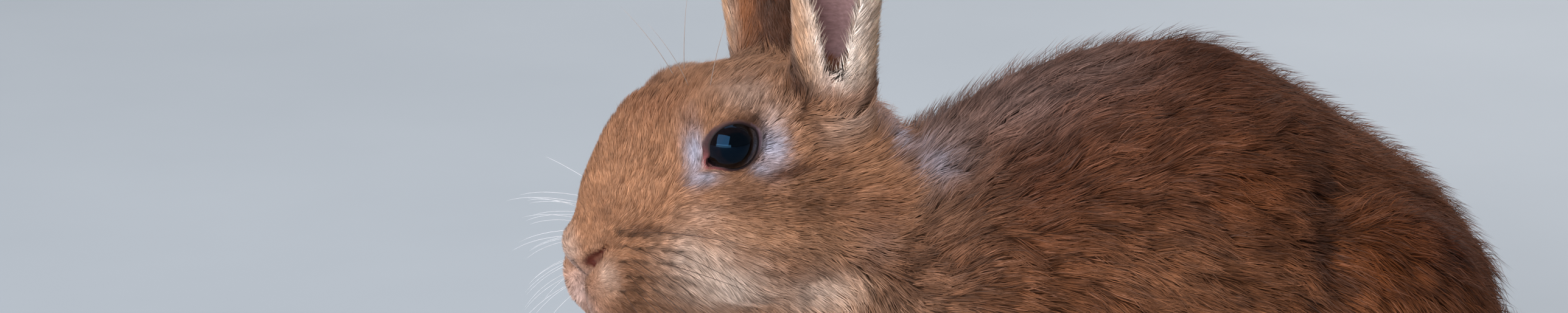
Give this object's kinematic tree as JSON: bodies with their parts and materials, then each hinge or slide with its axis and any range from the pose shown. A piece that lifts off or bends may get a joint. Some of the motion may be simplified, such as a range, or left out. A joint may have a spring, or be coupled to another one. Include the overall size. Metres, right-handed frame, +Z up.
{
  "type": "crouching rabbit",
  "caption": "Life-size still model of a crouching brown domestic rabbit with upright ears and its head turned slightly to its left.",
  "frame": {"origin": "centre of the model's box, at the level of the soles of its feet", "axes": "+Z up, +X from the nose towards the tail, +Y from the rabbit's left side towards its right"},
  "size_m": [0.285, 0.1188, 0.2279],
  "materials": {
    "head_coat": "soft short fur",
    "neck_coat": "soft short fur",
    "trunk_coat": "soft short fur",
    "tail_coat": "soft short fur",
    "foreleg_coat": "soft short fur",
    "hindleg_coat": "soft short fur",
    "ear_coat": "soft short fur",
    "eye": "wet gloss"
  },
  "bodies": {
    "root": {"head": "head_coat", "neck": "neck_coat", "trunk": "trunk_coat", "tail": "tail_coat", "foreleg_left": "foreleg_coat", "foreleg_right": "foreleg_coat", "hindleg_left": "hindleg_coat", "hindleg_right": "hindleg_coat", "ear_left": "ear_coat", "ear_right": "ear_coat", "eye_left": "eye", "eye_right": "eye"}
  },
  "joints": []
}
